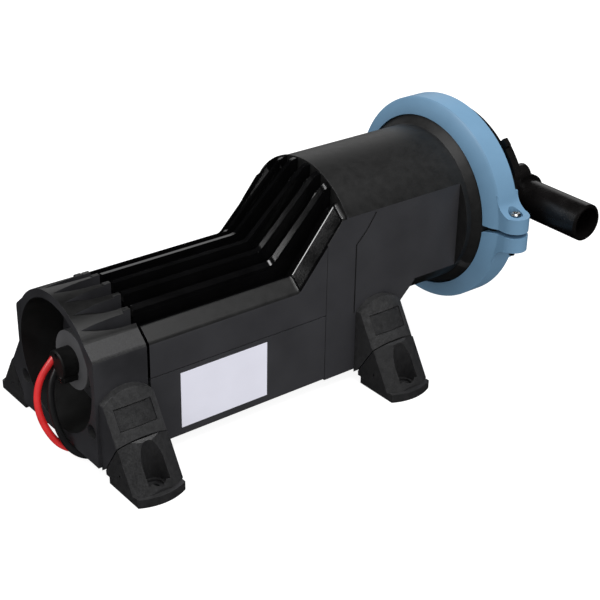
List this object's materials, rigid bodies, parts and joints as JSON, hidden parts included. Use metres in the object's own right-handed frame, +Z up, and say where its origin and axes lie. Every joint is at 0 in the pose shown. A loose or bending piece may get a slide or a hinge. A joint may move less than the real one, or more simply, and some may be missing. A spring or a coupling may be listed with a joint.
{
  "type": "grey water pump",
  "caption": "Electric diaphragm pump for grey water: ribbed motor case on four clip-on feet, clamp ring, turning pump head with two hose spigots.",
  "frame": {"origin": "centre of the four foot screws, on the floor", "axes": "+X towards the pump head, +Z up, the outlet spigot points along -Y"},
  "size_m": [0.3607, 0.1974, 0.1552],
  "materials": {
    "case_black": "fine satin moulding",
    "cover_black": "polished ribs, grained shoulders",
    "foot_black": "mottled matt moulding",
    "ring_blue": "satin",
    "head_black": "satin gloss",
    "seal_rubber": "matt",
    "steel": "bright",
    "brass": "turned",
    "copper": "varnished wire",
    "magnet": "sintered",
    "gear_nylon": "moulded",
    "frame_alloy": "die cast",
    "label_white": "bare film",
    "lead_red": "cable sleeve",
    "lead_black": "cable sleeve",
    "carbon": "pressed carbon"
  },
  "bodies": {
    "case": {"rear_cap": "case_black", "top_cover": "cover_black", "base_cover": "case_black", "front_housing": "case_black", "clamp_ring_upper": "ring_blue", "clamp_ring_lower": "ring_blue", "clamp_screws": "steel", "clamp_nuts": "steel", "diaphragm": "seal_rubber", "shaft_bearings": "steel", "gearbox_frame": "frame_alloy", "worm_bush": "brass", "motor_can": "steel", "motor_rear_bell": "frame_alloy", "motor_front_bell": "frame_alloy", "motor_rear_bush": "brass", "motor_front_bush": "brass", "motor_magnets": "magnet", "brushes": "carbon", "brush_holder": "gear_nylon", "motor_screws": "steel", "cable_boot": "foot_black", "cable_gland": "seal_rubber", "gland_screw": "steel", "lead_red": "lead_red", "lead_black": "lead_black", "lead_tips": "copper", "label": "label_white", "cap_screws": "steel", "cover_screws": "steel", "frame_screws": "steel", "foot_rear_near": "foot_black", "foot_rear_far": "foot_black", "foot_front_near": "foot_black", "foot_front_far": "foot_black"},
    "rotor": {"motor_shaft": "steel", "armature": "steel", "winding": "copper", "commutator": "copper", "worm": "steel"},
    "crank": {"worm_wheel": "gear_nylon", "output_shaft": "steel", "eccentric": "steel"},
    "rod": {"connecting_rod": "gear_nylon", "big_end_bearing": "steel", "diaphragm_rear_plate": "gear_nylon", "diaphragm_front_plate": "gear_nylon", "diaphragm_screw": "steel"},
    "head": {"pump_head": "head_black", "valve_pins": "steel"},
    "inlet_flap": {"inlet_valve": "seal_rubber"},
    "outlet_flap": {"outlet_valve": "seal_rubber"}
  },
  "joints": [
    {"name": "motor_spin", "type": "hinge", "parent": "case", "child": "rotor", "pos_m": [0.039, 0, 0.0544], "axis": [1, 0, 0], "continuous": true},
    {"name": "wheel_spin", "type": "hinge", "parent": "case", "child": "crank", "pos_m": [0.101, 0, 0.0866], "axis": [0, 1, 0], "continuous": true},
    {"name": "rod_pivot", "type": "hinge", "parent": "crank", "child": "rod", "pos_m": [0.097, -0.011, 0.0866], "axis": [0, 1, 0], "continuous": true, "deforming": ["diaphragm"]},
    {"name": "head_turn", "type": "hinge", "parent": "case", "child": "head", "pos_m": [0.182, 0, 0.0866], "axis": [1, 0, 0], "range_deg": [-45, 45]},
    {"name": "inlet_flap_swing", "type": "hinge", "parent": "head", "child": "inlet_flap", "pos_m": [0.2198, 0.0138, 0.1004], "axis": [-1, 0, 0], "range_deg": [0, 35], "stiffness_Nm_per_rad": 0.002, "springref_deg": -17.19},
    {"name": "outlet_flap_swing", "type": "hinge", "parent": "head", "child": "outlet_flap", "pos_m": [0.2198, -0.0202, 0.1004], "axis": [-1, 0, 0], "range_deg": [0, 35], "stiffness_Nm_per_rad": 0.002, "springref_deg": -17.19}
  ],
  "couplings": [
    {"joint": "wheel_spin", "follows": "motor_spin", "ratio": 0.05},
    {"joint": "rod_pivot", "follows": "motor_spin", "ratio": -0.05}
  ]
}
